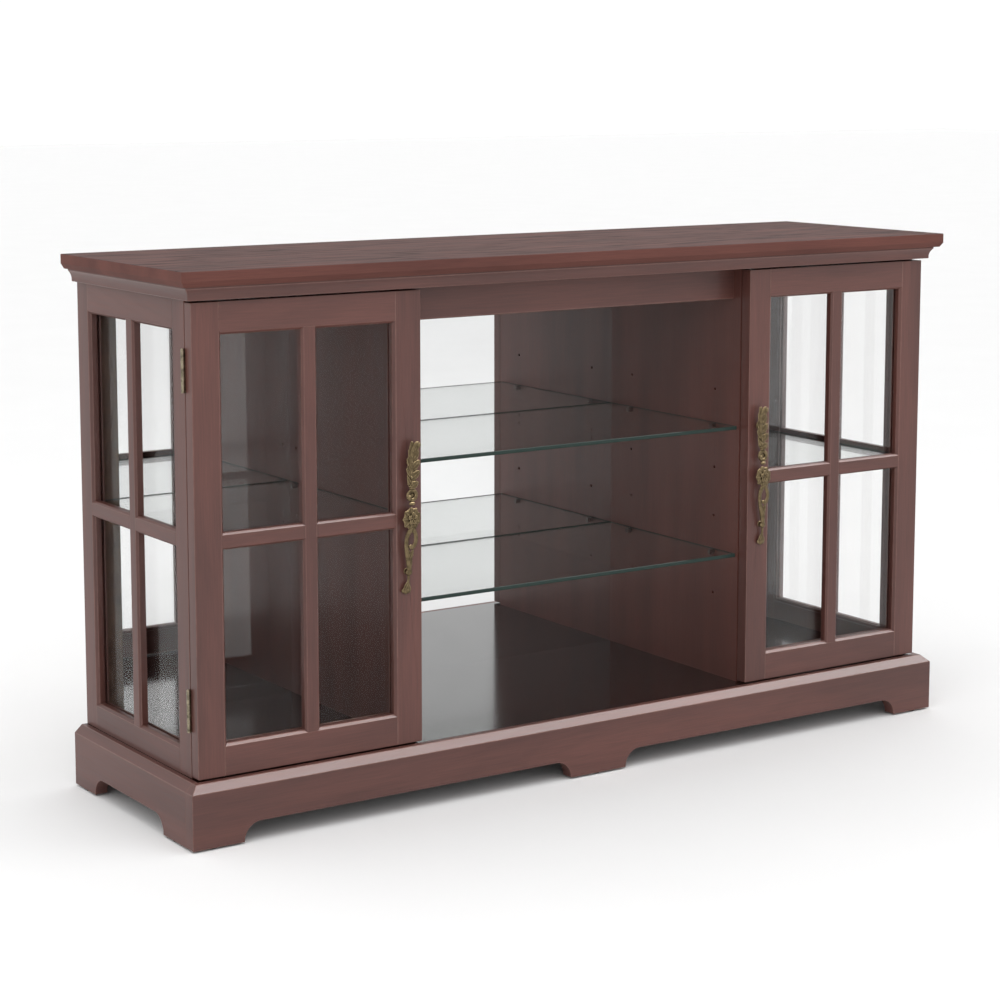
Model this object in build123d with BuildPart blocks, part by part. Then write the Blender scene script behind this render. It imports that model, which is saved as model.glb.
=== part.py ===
"""China cabinet: a low mirror-backed display sideboard with two glazed doors.

Units are millimetres. X runs along the cabinet from its left end to its right end, Y from
its front to its back, and Z up from the floor. The origin is under the middle of the cabinet,
on the floor. The open bay is in the middle, with a glazed and doored bay on each side of it.
"""

import os

from build123d import *

os.makedirs("parts", exist_ok=True)

# Overall size, measured over the top board and down to the glides
WIDTH = 1400
DEPTH = 400
HEIGHT = 810
HALF = WIDTH / 2
FRONT = -DEPTH / 2
BACK = DEPTH / 2

# Top board and the moulded frame under it
TOP_THICKNESS = 22
TOP_UNDER = HEIGHT - TOP_THICKNESS
TOP_BEVEL_IN = 5
TOP_BEVEL_UP = 8
TOP_CORNER = 2.5
TOP_EASE = 1.2
CROWN_HEIGHT = 19.5
CROWN_UNDER = TOP_UNDER - CROWN_HEIGHT
CROWN_PROUD = 14
CROWN_FOOT = 8.5
CROWN_LIP = 3.2
# How far the hollow of the cove bows: along its chord, and up from the chord's middle
CROWN_HOLLOW_IN = 0.28
CROWN_HOLLOW_UP = 0.8
TOP_RAIL_DEPTH = 44
TOP_SCREW_X = (-560, 0, 560)
TOP_SCREW_SINK = 12

# Carcass
CASE_HALF = 675
DOOR_FACE = -174
DOOR_THICKNESS = 20
HINGE_GAP = 2
CASE_FRONT = DOOR_FACE + DOOR_THICKNESS + HINGE_GAP
PANEL = 20
BAY_HALF = 306.5
DIVIDER = 18
FLOOR_TOP = 94
FLOOR_THICKNESS = 18
BACK_SHEET = 5
MIRROR_THICKNESS = 3
MIRROR_FACE = BACK - BACK_SHEET - MIRROR_THICKNESS
HEADER_UNDER = 716.5
HEADER_THICKNESS = 20
HEADER_SETBACK = 17
HEADER_EASE = 1.5
# The side mirrors stop short of the cabinet ends, and the back sheet shows beyond them
SIDE_MIRROR_END = 617
DIVIDER_SCREW_HEIGHTS = (200, 430, 660)

# Plinth with bracket feet
PLINTH_HALF = 696
PLINTH_FACE = -195.5
GLIDE_HEIGHT = 3
GLIDE_RADIUS = 8
GLIDE_EASE = 1.5
GLIDE_FRONT_X = 661
GLIDE_SIDE_X = 686
GLIDE_SIDE_Y = (-130, 165)
PLINTH_BOARD = 22
PLINTH_SIDE_BOARD = 20
PLINTH_CHAMFER_IN = 12
PLINTH_CHAMFER_DOWN = 11
FOOT_RISE = 27
FOOT_END = 81
FOOT_MIDDLE = 104
FOOT_SIDE_FRONT = 94
FOOT_SIDE_BACK = 71
BLOCK_LEG = 42
BLOCK_HEIGHT = 40

# Glazed frames: doors and cabinet ends
BEVEL = 4
GLASS_SETBACK = 13
GLASS = 4
RABBET = 6
PANE_GAP = 0.5
BEAD_JOINT = 0.1
BAR_Z = 430.75
MUNTIN = 24
MUNTIN_BEVEL = 3
END_STILE = 40
END_BOTTOM_RAIL = 39
END_TOP_RAIL = 45.5
DOOR_FREE_EDGE = 307.5
DOOR_UNDER = 96.5
DOOR_TOP = 765
DOOR_STILE = 46
DOOR_WIDTH = CASE_HALF - DOOR_FREE_EDGE
DOOR_HEIGHT = DOOR_TOP - DOOR_UNDER
DOOR_BACK = DOOR_FACE + DOOR_THICKNESS

# Glass shelves and their pins
SHELF_GLASS = 6
SHELF_GAP = 1
SHELF_EASE = 0.8
SHELF_FRONT = CASE_FRONT + 5
SHELF_BACK = MIRROR_FACE - 1
CENTER_SHELVES = (299, 507)
SIDE_SHELF = 431
PIN_RADIUS = 2.5
PIN_IN = 8
PIN_OUT = 9
PIN_HEAD = 4
PIN_PITCH = 64
CENTER_PIN_ROWS = (-90, 134)
SIDE_PIN_ROWS = (CASE_FRONT + END_STILE / 2, BACK - END_STILE / 2 - 10)

# Butt hinges with an outside barrel, and the catches
HINGE_HEIGHT = 60
HINGE_INSET = 95
HINGE_LEAF = 0.8
HINGE_LEAF_IN = 656
BARREL_RADIUS = 2.8
PIN_BORE = 1.35
HINGE_PIN = 1.3
PIN_CAP = 2.2
PIN_CAP_HEIGHT = 1.6
PIN_CAP_EASE = 0.7
KNUCKLE_GAP = 0.4
KNUCKLE_OVERLAP = 1
HINGE_X = CASE_HALF + 3.1
HINGE_Y = CASE_FRONT - HINGE_GAP / 2
HINGE_HEIGHTS = (DOOR_UNDER + HINGE_INSET, DOOR_TOP - HINGE_INSET)
SCREW_RADIUS = 1.3
SCREW_HEAD = 2.6
SCREW_LENGTH = 13
HINGE_SCREW_STEPS = (-21, 0, 21)
HINGE_SCREW_X = 666
CATCH_WIDTH = 18
CATCH_EASE = 2
CATCH_FRONT = CASE_FRONT - 0.5
CATCH_DEPTH = 36
CATCH_BOTTOM = 735
CATCH_TOP = 757
STRIKE_THICKNESS = 1
STRIKE_INSET = 1.5
STRIKE_PROUD = 2

# Door pulls
PULL_X = DOOR_FREE_EDGE + DOOR_STILE / 2
PULL_Z = 435
PULL_POSTS = 80
PULL_POST_RADIUS = 4.5
PULL_POST_LENGTH = 10
PULL_PROUD = 17
PULL_BOLT = 2
PULL_BOLT_HEAD = 3.6
PULL_BOLT_HEAD_HEIGHT = 2
PULL_BOLT_GRIP = 7
# The pull leans towards the free edge of its door by this much at its ends
PULL_LEAN = 4.3
PULL_REACH = 115
# Half-widths of the pull, from its bottom finial up to the tip of its leaf
PULL_OUTLINE = (
    (-115, 3),
    (-105, 8),
    (-94, 3.5),
    (-85, 6),
    (-72, 4),
    (-55, 6),
    (-38, 11),
    (-21, 9),
    (-4, 16.5),
    (15, 7),
    (28, 9),
    (42, 6),
    (70, 11),
    (98, 10),
    (114, 3),
)
# Distance of the pull's back and front from the door, up its height
PULL_BACK = ((-115, 0.6), (-94, 3.7), (-55, 6.5), (0, 8), (60, 8.7), (114, 9.6))
PULL_FRONT = ((-115, 5.5), (-85, 10.5), (-40, 13), (0, 15.8), (60, 14.5), (114, 15))

SIDES = (("left", -1), ("right", 1))


def save(piece, name):
    """Label a finished piece and write it."""
    piece.label = name
    export_step(piece, f"parts/{name}.step")


def board(low, high, mode=Mode.ADD):
    """Add a plain board between its lowest and highest corners."""
    size = [b - a for a, b in zip(low, high)]
    middle = tuple((a + b) / 2 for a, b in zip(low, high))
    with Locations(middle):
        Box(*size, mode=mode)


def sided(side, near, far):
    """The two X limits of a board on the given side, lowest first."""
    return sorted((side * near, side * far))


# ---------------------------------------------------------------- screws


def screw(x, y, z, direction):
    """Add a countersunk wood screw whose head is flush at (x, y, z)."""
    flat = Plane(origin=(x, y, z), z_dir=direction)
    head_depth = SCREW_HEAD - SCREW_RADIUS
    with BuildSketch(flat) as head:
        Circle(SCREW_HEAD)
    extrude(head.sketch, amount=head_depth, taper=44.9)
    with BuildSketch(flat) as shank:
        Circle(SCREW_RADIUS)
    extrude(shank.sketch, amount=SCREW_LENGTH)


with BuildPart() as cabinet_screws:
    for _, side in SIDES:
        for hinge_z in HINGE_HEIGHTS:
            for step in HINGE_SCREW_STEPS:
                screw(side * HINGE_SCREW_X, CASE_FRONT - HINGE_LEAF, hinge_z + step, (0, 1, 0))
        for height in DIVIDER_SCREW_HEIGHTS:
            screw(side * (BAY_HALF + DIVIDER / 2), BACK, height, (0, -1, 0))
    for x in TOP_SCREW_X:
        screw(x, DOOR_FACE + TOP_RAIL_DEPTH / 2, CROWN_UNDER + TOP_SCREW_SINK, (0, 0, 1))
        screw(x, BACK - TOP_RAIL_DEPTH / 2, CROWN_UNDER + TOP_SCREW_SINK, (0, 0, 1))
save(cabinet_screws.part, "cabinet_screws")

# ---------------------------------------------------------------- top

with BuildPart() as top_board:
    board((-HALF, FRONT, TOP_UNDER), (HALF, BACK, HEIGHT))
    under_face = top_board.faces().sort_by(Axis.Z)[0]
    under_edges = under_face.edges().sort_by(Axis.Y)[:-1]
    chamfer(under_edges, length=TOP_BEVEL_IN, length2=TOP_BEVEL_UP, reference=under_face)
    front_corners = top_board.edges().filter_by(Axis.Z).group_by(Axis.Y)[0]
    fillet(front_corners, radius=TOP_CORNER)
    upper_edges = top_board.faces().sort_by(Axis.Z)[-1].edges()
    fillet(upper_edges, radius=TOP_EASE)
    add(cabinet_screws.part, mode=Mode.SUBTRACT)
save(top_board.part, "top_board")


def crown_profile(outward):
    """Outline of the cove moulding: a foot, a hollow and a lip, on the case's own faces.

    outward is a function from the distance off the case to the sketch's first coordinate.
    """
    foot_top = CROWN_UNDER + CROWN_LIP
    lip_under = TOP_UNDER - CROWN_LIP
    with BuildLine() as outline:
        Polyline(
            (outward(CROWN_FOOT), foot_top),
            (outward(CROWN_FOOT), CROWN_UNDER),
            (outward(0), CROWN_UNDER),
            (outward(0), TOP_UNDER),
            (outward(CROWN_PROUD), TOP_UNDER),
            (outward(CROWN_PROUD), lip_under),
        )
        hollow_off = CROWN_FOOT + CROWN_HOLLOW_IN * (CROWN_PROUD - CROWN_FOOT)
        hollow_z = (foot_top + lip_under) / 2 + CROWN_HOLLOW_UP
        ThreePointArc(
            (outward(CROWN_PROUD), lip_under),
            (outward(hollow_off), hollow_z),
            (outward(CROWN_FOOT), foot_top),
        )
    make_face(outline.edges())


def mitre(side):
    """The vertical plane through a front corner of the case, facing the front piece."""
    return Plane(origin=(side * CASE_HALF, DOOR_FACE, 0), z_dir=(-side, -1, 0))


with BuildPart() as crown_moulding_front:
    with BuildSketch(Plane.YZ):
        crown_profile(lambda d: DOOR_FACE - d)
    extrude(amount=CASE_HALF + CROWN_PROUD, both=True)
    for _, side in SIDES:
        split(bisect_by=mitre(side), keep=Keep.TOP)
save(crown_moulding_front.part, "crown_moulding_front")

for name, side in SIDES:
    with BuildPart() as crown_moulding_side:
        with BuildSketch(Plane.XZ.offset(-BACK)):
            crown_profile(lambda d, side=side: side * (CASE_HALF + d))
        extrude(amount=BACK - DOOR_FACE + CROWN_PROUD)
        split(bisect_by=mitre(side), keep=Keep.BOTTOM)
    save(crown_moulding_side.part, f"crown_moulding_{name}")

front_rail_back = DOOR_FACE + TOP_RAIL_DEPTH
back_rail_front = BACK - TOP_RAIL_DEPTH
side_rail_in = CASE_HALF - TOP_RAIL_DEPTH


def top_counterbores(y):
    """Cut the holes from below that sink the heads of the top board's screws."""
    for x in TOP_SCREW_X:
        with Locations((x, y, CROWN_UNDER + TOP_SCREW_SINK / 2)):
            Cylinder(SCREW_HEAD, TOP_SCREW_SINK, mode=Mode.SUBTRACT)


with BuildPart() as top_frame_front_rail:
    board((-CASE_HALF, DOOR_FACE, CROWN_UNDER), (CASE_HALF, front_rail_back, TOP_UNDER))
    add(cabinet_screws.part, mode=Mode.SUBTRACT)
    top_counterbores(DOOR_FACE + TOP_RAIL_DEPTH / 2)
save(top_frame_front_rail.part, "top_frame_front_rail")

with BuildPart() as top_frame_back_rail:
    board((-side_rail_in, back_rail_front, CROWN_UNDER), (side_rail_in, BACK, TOP_UNDER))
    add(cabinet_screws.part, mode=Mode.SUBTRACT)
    top_counterbores(BACK - TOP_RAIL_DEPTH / 2)
save(top_frame_back_rail.part, "top_frame_back_rail")

with BuildPart() as top_frame_side_rails:
    for _, side in SIDES:
        x0, x1 = sided(side, side_rail_in, CASE_HALF)
        board((x0, front_rail_back, CROWN_UNDER), (x1, BACK, TOP_UNDER))
save(top_frame_side_rails.part, "top_frame_side_rails")

# ---------------------------------------------------------------- plinth


def foot_gap(start, end):
    """Cut the arched gap between two feet out of an apron sketch."""
    with Locations(((start + end) / 2, GLIDE_HEIGHT)):
        SlotOverall(end - start, 2 * FOOT_RISE, mode=Mode.SUBTRACT)


def apron_face(start, end, top):
    """Front view of an apron board before its gaps are cut."""
    with Locations(((start + end) / 2, (GLIDE_HEIGHT + top) / 2)):
        Rectangle(end - start, top - GLIDE_HEIGHT)


with BuildPart() as plinth_front:
    with BuildSketch(Plane.XZ.offset(-PLINTH_FACE)):
        apron_face(-PLINTH_HALF, PLINTH_HALF, FLOOR_TOP)
        foot_gap(FOOT_MIDDLE / 2, PLINTH_HALF - FOOT_END)
        foot_gap(FOOT_END - PLINTH_HALF, -FOOT_MIDDLE / 2)
    extrude(amount=-PLINTH_BOARD)
    upper_face = plinth_front.faces().sort_by(Axis.Z)[-1]
    upper_edges = upper_face.edges().sort_by(Axis.Y)[:-1]
    chamfer(upper_edges, length=PLINTH_CHAMFER_IN, length2=PLINTH_CHAMFER_DOWN, reference=upper_face)
save(plinth_front.part, "plinth_front")

plinth_inner = PLINTH_FACE + PLINTH_BOARD
side_inner = PLINTH_HALF - PLINTH_SIDE_BOARD

for name, side in SIDES:
    with BuildPart() as plinth_side:
        with BuildSketch(Plane.YZ.offset(side * PLINTH_HALF)):
            apron_face(plinth_inner, BACK, FLOOR_TOP)
            foot_gap(PLINTH_FACE + FOOT_SIDE_FRONT, BACK - FOOT_SIDE_BACK)
        extrude(amount=-side * PLINTH_SIDE_BOARD)
        upper_face = plinth_side.faces().sort_by(Axis.Z)[-1]
        outer_edge = upper_face.edges().sort_by_distance((side * PLINTH_HALF, 0, FLOOR_TOP))[0]
        chamfer(outer_edge, length=PLINTH_CHAMFER_IN, length2=PLINTH_CHAMFER_DOWN, reference=upper_face)
    save(plinth_side.part, f"plinth_{name}")

with BuildPart() as plinth_back:
    with BuildSketch(Plane.XZ.offset(-BACK)):
        apron_face(-side_inner, side_inner, FLOOR_TOP - FLOOR_THICKNESS)
        foot_gap(FOOT_MIDDLE / 2, PLINTH_HALF - FOOT_END)
        foot_gap(FOOT_END - PLINTH_HALF, -FOOT_MIDDLE / 2)
    extrude(amount=DIVIDER)
save(plinth_back.part, "plinth_back")

with BuildPart() as plinth_corner_blocks:
    block_top = FLOOR_TOP - FLOOR_THICKNESS
    with BuildSketch(Plane.XY.offset(block_top)):
        for _, side in SIDES:
            for wall, inward in ((plinth_inner, 1), (BACK - DIVIDER, -1)):
                with BuildLine():
                    Polyline(
                        (side * side_inner, wall),
                        (side * (side_inner - BLOCK_LEG), wall),
                        (side * side_inner, wall + inward * BLOCK_LEG),
                        close=True,
                    )
                make_face()
    extrude(amount=-BLOCK_HEIGHT)
save(plinth_corner_blocks.part, "plinth_corner_blocks")

glide_front_y = PLINTH_FACE + PLINTH_BOARD / 2
glide_spots = [(0, glide_front_y), (0, BACK - DIVIDER / 2)]
for _, side in SIDES:
    glide_spots.append((side * GLIDE_FRONT_X, glide_front_y))
    glide_spots.extend((side * GLIDE_SIDE_X, y) for y in GLIDE_SIDE_Y)

with BuildPart() as floor_glides:
    with BuildSketch(Plane.XY.offset(GLIDE_HEIGHT)):
        with Locations(*glide_spots):
            Circle(GLIDE_RADIUS)
    extrude(amount=-GLIDE_HEIGHT)
    fillet(floor_glides.edges().group_by(Axis.Z)[0], radius=GLIDE_EASE)
save(floor_glides.part, "floor_glides")

# ---------------------------------------------------------------- case boards

with BuildPart() as bottom_panel:
    board(
        (-side_inner, plinth_inner, FLOOR_TOP - FLOOR_THICKNESS),
        (side_inner, BACK, FLOOR_TOP),
    )
save(bottom_panel.part, "bottom_panel")


def pin_heights(shelf):
    """Heights of the pin holes for a shelf: its own, with one spare above and one below."""
    own = shelf - PIN_HEAD
    return (own - PIN_PITCH, own, own + PIN_PITCH)


def pin_hole(face_x, y, z, into):
    """Cut one pin hole into a board face at face_x; into is the sign of X into the wood."""
    with BuildSketch(Plane(origin=(face_x, y, z), z_dir=(into, 0, 0))) as mouth:
        Circle(PIN_RADIUS)
    extrude(mouth.sketch, amount=PIN_IN, mode=Mode.SUBTRACT)


for name, side in SIDES:
    with BuildPart() as divider:
        x0, x1 = sided(side, BAY_HALF, BAY_HALF + DIVIDER)
        board((x0, CASE_FRONT, FLOOR_TOP), (x1, BACK - BACK_SHEET, CROWN_UNDER))
        for row in CENTER_PIN_ROWS:
            for shelf in CENTER_SHELVES:
                for height in pin_heights(shelf):
                    pin_hole(side * BAY_HALF, row, height, side)
        for row in SIDE_PIN_ROWS:
            for height in pin_heights(SIDE_SHELF):
                pin_hole(side * (BAY_HALF + DIVIDER), row, height, -side)
        add(cabinet_screws.part, mode=Mode.SUBTRACT)
    save(divider.part, f"{name}_divider")

header_front = CASE_FRONT + HEADER_SETBACK
with BuildPart() as header_rail:
    board(
        (-BAY_HALF, header_front, HEADER_UNDER),
        (BAY_HALF, header_front + HEADER_THICKNESS, CROWN_UNDER),
    )
    lower_front = header_rail.edges().filter_by(Axis.X).group_by(Axis.Z)[0].sort_by(Axis.Y)[0]
    chamfer(lower_front, length=HEADER_EASE)
save(header_rail.part, "header_rail")

with BuildPart() as back_panel:
    board(
        (-(CASE_HALF - PANEL), BACK - BACK_SHEET, FLOOR_TOP),
        (CASE_HALF - PANEL, BACK, CROWN_UNDER),
    )
    add(cabinet_screws.part, mode=Mode.SUBTRACT)
save(back_panel.part, "back_panel")

side_bay = (BAY_HALF + DIVIDER, CASE_HALF - PANEL)
for name, (x0, x1) in (
    ("left_mirror", sided(-1, side_bay[0], SIDE_MIRROR_END)),
    ("center_mirror", (-BAY_HALF, BAY_HALF)),
    ("right_mirror", sided(1, side_bay[0], SIDE_MIRROR_END)),
):
    with BuildPart() as mirror_pane:
        board((x0, MIRROR_FACE, FLOOR_TOP), (x1, MIRROR_FACE + MIRROR_THICKNESS, CROWN_UNDER))
    save(mirror_pane.part, name)

# ---------------------------------------------------------------- shelves

for name, (x0, x1), under in (
    ("lower_center_shelf", (-BAY_HALF, BAY_HALF), CENTER_SHELVES[0]),
    ("upper_center_shelf", (-BAY_HALF, BAY_HALF), CENTER_SHELVES[1]),
    ("left_shelf", sided(-1, *side_bay), SIDE_SHELF),
    ("right_shelf", sided(1, *side_bay), SIDE_SHELF),
):
    with BuildPart() as shelf_glass:
        board(
            (x0 + SHELF_GAP, SHELF_FRONT, under),
            (x1 - SHELF_GAP, SHELF_BACK, under + SHELF_GLASS),
        )
        chamfer(shelf_glass.edges().filter_by(Axis.X), length=SHELF_EASE)
    save(shelf_glass.part, name)


def shelf_pin(face_x, y, z, outward):
    """Add one pin: a shank in a board face at face_x, and a thicker head under a shelf."""
    with BuildSketch(Plane(origin=(face_x - outward * PIN_IN, y, z), z_dir=(outward, 0, 0))) as shank:
        Circle(PIN_RADIUS)
    extrude(shank.sketch, amount=PIN_IN)
    with BuildSketch(Plane(origin=(face_x, y, z), z_dir=(outward, 0, 0))) as head:
        Circle(PIN_HEAD)
    extrude(head.sketch, amount=PIN_OUT)


with BuildPart() as shelf_pins:
    for _, side in SIDES:
        for row in CENTER_PIN_ROWS:
            for shelf in CENTER_SHELVES:
                shelf_pin(side * BAY_HALF, row, shelf - PIN_HEAD, -side)
        for row in SIDE_PIN_ROWS:
            shelf_pin(side * side_bay[0], row, SIDE_SHELF - PIN_HEAD, side)
            shelf_pin(side * side_bay[1], row, SIDE_SHELF - PIN_HEAD, -side)
save(shelf_pins.part, "shelf_pins")

# ---------------------------------------------------------------- glazed frames


def edge_plane(face, corner, across):
    """Plane of a member's cross-section, for a frame whose outside lies on the plane face.

    corner is a point in the face's own coordinates, and across the direction over the member
    from there. The section's x runs across it and its y into its thickness.
    """
    x_dir = face.x_dir * across[0] + face.y_dir * across[1]
    return Plane(
        origin=face.from_local_coords((corner[0], corner[1], 0)),
        x_dir=x_dir,
        z_dir=face.z_dir.cross(x_dir),
    )


def member(face, corner, across, width, length):
    """Add a stile or rail: its inner edge is bevelled in front and rabbeted for glass behind."""
    with BuildSketch(edge_plane(face, corner, across)) as section:
        with BuildLine():
            Polyline(
                (0, 0),
                (width - BEVEL, 0),
                (width, BEVEL),
                (width, GLASS_SETBACK),
                (width - RABBET, GLASS_SETBACK),
                (width - RABBET, DOOR_THICKNESS),
                (0, DOOR_THICKNESS),
                close=True,
            )
        make_face()
    extrude(section.sketch, amount=length)


def muntin_bar(face, corner, across, length):
    """Add a glazing bar: bevelled along both front edges, with the glass behind it."""
    with BuildSketch(edge_plane(face, corner, across)) as section:
        with BuildLine():
            Polyline(
                (0, GLASS_SETBACK),
                (0, MUNTIN_BEVEL),
                (MUNTIN_BEVEL, 0),
                (MUNTIN - MUNTIN_BEVEL, 0),
                (MUNTIN, MUNTIN_BEVEL),
                (MUNTIN, GLASS_SETBACK),
                close=True,
            )
        make_face()
    extrude(section.sketch, amount=length)


def glazed_frame(face, width, height, stile, bottom_rail, top_rail, bar_height):
    """Stiles, rails, muntins, glass and beads of one frame, standing on the face's x axis.

    Rails are coped over the stiles, and the muntins over both, so that bevels meet in mitres.
    """
    half = width / 2
    opening = half - stile
    with BuildPart() as left_stile:
        member(face, (-half, 0), (1, 0), stile, height)
    with BuildPart() as right_stile:
        member(face, (half, height), (-1, 0), stile, height)
    with BuildPart() as rails:
        reach = opening + RABBET
        member(face, (reach, 0), (0, 1), bottom_rail, 2 * reach)
        member(face, (-reach, height), (0, -1), top_rail, 2 * reach)
        add(left_stile.part, mode=Mode.SUBTRACT)
        add(right_stile.part, mode=Mode.SUBTRACT)
    with BuildPart() as upright:
        start = bottom_rail - BEVEL
        muntin_bar(face, (-MUNTIN / 2, start), (1, 0), height - top_rail + BEVEL - start)
        add(rails.part, mode=Mode.SUBTRACT)
    with BuildPart() as bars:
        low = bar_height - MUNTIN / 2
        reach = opening + BEVEL
        muntin_bar(face, (reach, low), (0, 1), 2 * reach)
        for taken in (left_stile, right_stile, upright):
            add(taken.part, mode=Mode.SUBTRACT)
    # The bars touch along their joints, so a compound keeps them three pieces
    muntins = Compound([upright.part.solid(), *bars.part.solids()])
    with BuildPart() as glass:
        pane_plane = face.offset(-GLASS_SETBACK)
        pane_low = bottom_rail - RABBET + PANE_GAP
        pane_high = height - top_rail + RABBET - PANE_GAP
        with BuildSketch(pane_plane) as pane:
            with Locations((0, (pane_low + pane_high) / 2)):
                Rectangle(2 * (opening + RABBET - PANE_GAP), pane_high - pane_low)
        extrude(pane.sketch, amount=-GLASS)
    with BuildPart() as beads:
        low = bottom_rail - RABBET
        high = height - top_rail + RABBET
        middle = (low + high) / 2
        with BuildSketch(pane_plane.offset(-GLASS)) as strips:
            with Locations((-opening - RABBET / 2, middle), (opening + RABBET / 2, middle)):
                Rectangle(RABBET, high - low)
            with Locations((0, low + RABBET / 2), (0, high - RABBET / 2)):
                Rectangle(2 * (opening - BEAD_JOINT), RABBET)
        extrude(strips.sketch, amount=GLASS_SETBACK + GLASS - DOOR_THICKNESS)
    return left_stile, right_stile, rails, muntins, glass, beads


end_width = BACK - CASE_FRONT
end_middle = (BACK + CASE_FRONT) / 2
for name, side in SIDES:
    end_face = Plane(
        origin=(side * CASE_HALF, end_middle, FLOOR_TOP),
        x_dir=(0, side, 0),
        z_dir=(side, 0, 0),
    )
    frame = glazed_frame(
        end_face,
        end_width,
        CROWN_UNDER - FLOOR_TOP,
        END_STILE,
        END_BOTTOM_RAIL,
        END_TOP_RAIL,
        BAR_Z - FLOOR_TOP,
    )
    with BuildPart() as end_stiles:
        add(frame[0].part)
        add(frame[1].part)
        for row in SIDE_PIN_ROWS:
            for height in pin_heights(SIDE_SHELF):
                pin_hole(side * (CASE_HALF - PANEL), row, height, side)
        add(cabinet_screws.part, mode=Mode.SUBTRACT)
    save(end_stiles.part, f"{name}_end_stiles")
    save(frame[2].part, f"{name}_end_rails")
    save(frame[3], f"{name}_end_muntins")
    save(frame[4].part, f"{name}_end_glass")
    save(frame[5].part, f"{name}_end_beads")

# ---------------------------------------------------------------- hinges


def hinge_leaf(side, hinge_z, face_y, into, knuckles):
    """Add one leaf with its knuckles and a running bore through them.

    face_y is the leaf's face on the wood and into the sign of Y from there towards the axis.
    """
    low = hinge_z - HINGE_HEIGHT / 2
    y0, y1 = sorted((face_y, face_y + into * HINGE_LEAF))
    clear_x = HINGE_X - BARREL_RADIUS - KNUCKLE_GAP
    x0, x1 = sided(side, HINGE_LEAF_IN, clear_x)
    board((x0, y0, low), (x1, y1, low + HINGE_HEIGHT))
    for start, end in knuckles:
        x0, x1 = sided(side, clear_x - KNUCKLE_OVERLAP, HINGE_X)
        board((x0, y0, low + start), (x1, y1, low + end))
        with Locations((side * HINGE_X, HINGE_Y, low + (start + end) / 2)):
            Cylinder(BARREL_RADIUS, end - start)
    with Locations((side * HINGE_X, HINGE_Y, hinge_z)):
        Cylinder(PIN_BORE, 2 * HINGE_HEIGHT, mode=Mode.SUBTRACT)


third = HINGE_HEIGHT / 3
half_gap = KNUCKLE_GAP / 2
outer_knuckles = ((0, third - half_gap), (2 * third + half_gap, HINGE_HEIGHT))
middle_knuckle = ((third + half_gap, 2 * third - half_gap),)

with BuildPart() as hinge_frame_leaves:
    for _, side in SIDES:
        for hinge_z in HINGE_HEIGHTS:
            hinge_leaf(side, hinge_z, CASE_FRONT, -1, outer_knuckles)
    add(cabinet_screws.part, mode=Mode.SUBTRACT)
save(hinge_frame_leaves.part, "hinge_frame_leaves")

with BuildPart() as hinge_pins:
    for _, side in SIDES:
        for hinge_z in HINGE_HEIGHTS:
            with Locations((side * HINGE_X, HINGE_Y, hinge_z)):
                Cylinder(HINGE_PIN, HINGE_HEIGHT)
            with Locations((side * HINGE_X, HINGE_Y, hinge_z + HINGE_HEIGHT / 2 + PIN_CAP_HEIGHT / 2)):
                Cylinder(PIN_CAP, PIN_CAP_HEIGHT)
    cap_rims = hinge_pins.edges().filter_by(GeomType.CIRCLE).filter_by(lambda rim: rim.radius > PIN_BORE)
    fillet(cap_rims.group_by(Axis.Z)[-1] + cap_rims.group_by(Axis.Z)[1], radius=PIN_CAP_EASE)
save(hinge_pins.part, "hinge_pins")

with BuildPart() as magnet_catches:
    for _, side in SIDES:
        x0, x1 = sided(side, side_bay[0], side_bay[0] + CATCH_WIDTH)
        board((x0, CATCH_FRONT, CATCH_BOTTOM), (x1, CATCH_FRONT + CATCH_DEPTH, CATCH_TOP))
    fillet(magnet_catches.edges().filter_by(Axis.Y), radius=CATCH_EASE)
save(magnet_catches.part, "magnet_catches")

# ---------------------------------------------------------------- doors


def door_screws(side):
    """Screws of the door's hinge leaves, and the two bolts that hold its pull."""
    with BuildPart() as screws:
        for hinge_z in HINGE_HEIGHTS:
            for step in HINGE_SCREW_STEPS:
                screw(side * HINGE_SCREW_X, DOOR_BACK + HINGE_LEAF, hinge_z + step, (0, -1, 0))
        for step in (-PULL_POSTS, PULL_POSTS):
            seat = (pull_middle(side, step), DOOR_BACK, PULL_Z + step)
            bolt_plane = Plane(origin=seat, z_dir=(0, -1, 0))
            with BuildSketch(bolt_plane) as head:
                Circle(PULL_BOLT_HEAD)
            extrude(head.sketch, amount=-PULL_BOLT_HEAD_HEIGHT)
            with BuildSketch(bolt_plane) as shank:
                Circle(PULL_BOLT)
            extrude(shank.sketch, amount=DOOR_THICKNESS + PULL_BOLT_GRIP)
    return screws


def pull_middle(side, height):
    """X of the pull's middle line at a height above the pull's own middle."""
    return side * (PULL_X - PULL_LEAN * height / PULL_REACH)


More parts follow.
